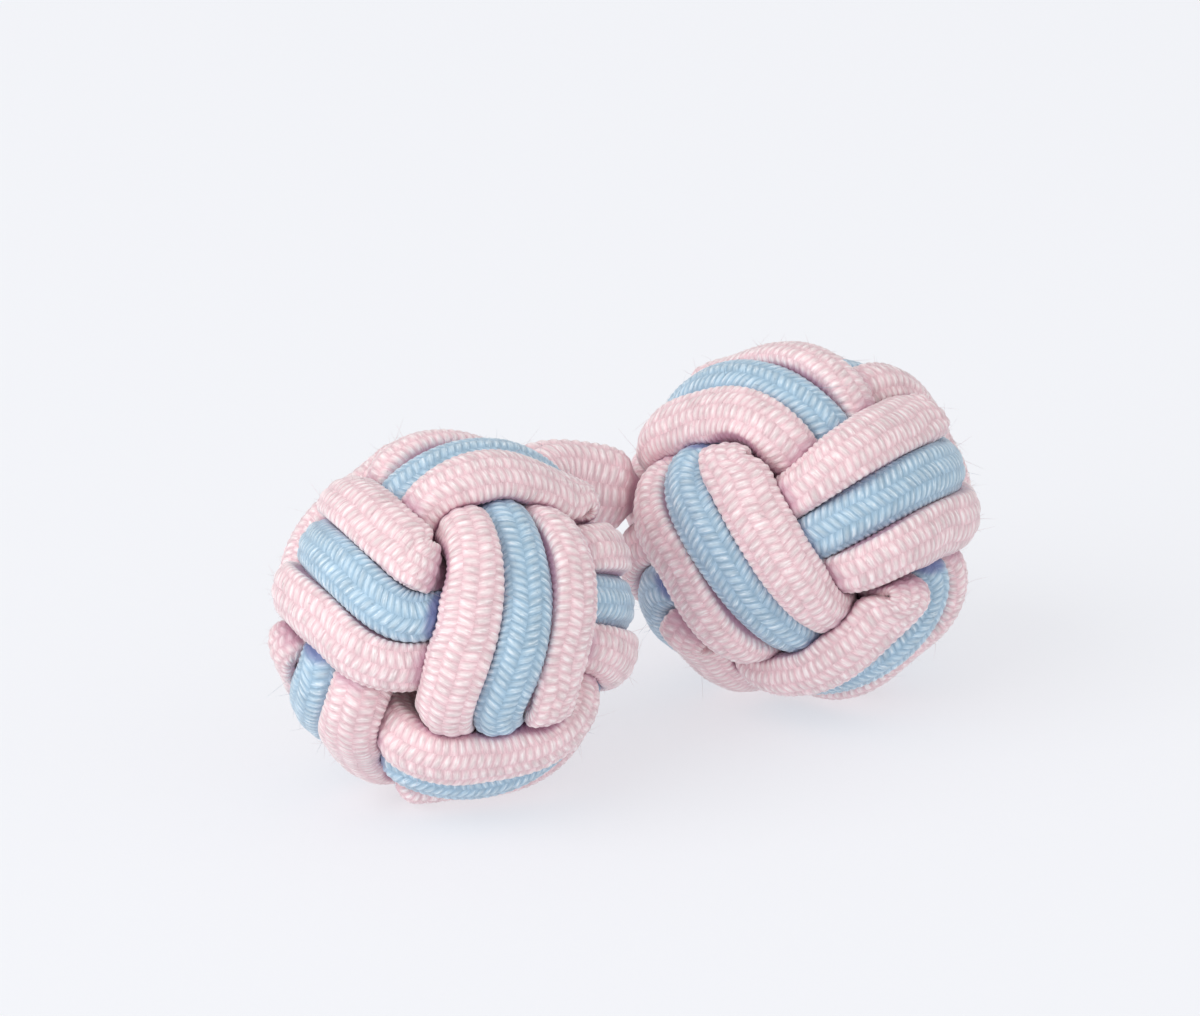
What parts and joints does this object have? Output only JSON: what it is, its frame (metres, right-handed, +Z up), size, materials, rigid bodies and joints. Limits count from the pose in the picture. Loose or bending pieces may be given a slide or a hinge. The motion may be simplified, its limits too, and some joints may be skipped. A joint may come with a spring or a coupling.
{
  "type": "silk knot cuff button",
  "caption": "Double-ended cuff button: two round knots woven from silky cords, joined by a short bent elastic shank.",
  "frame": {"origin": "under the middle of the whole button, on the surface that it lies on", "axes": "+X from the left knot to the right knot, +Y to the side that the shank bows to, away from the camera, +Z up"},
  "size_m": [0.0274, 0.0128, 0.0126],
  "materials": {
    "pink_cord": "fine braided rayon cord, silky sheen",
    "blue_cord": "fine braided rayon cord, silky sheen"
  },
  "bodies": {
    "root": {"left_pink_one": "pink_cord", "left_blue": "blue_cord", "left_pink_two": "pink_cord", "right_pink_one": "pink_cord", "right_blue": "blue_cord", "right_pink_two": "pink_cord", "shank": "pink_cord"}
  },
  "joints": []
}
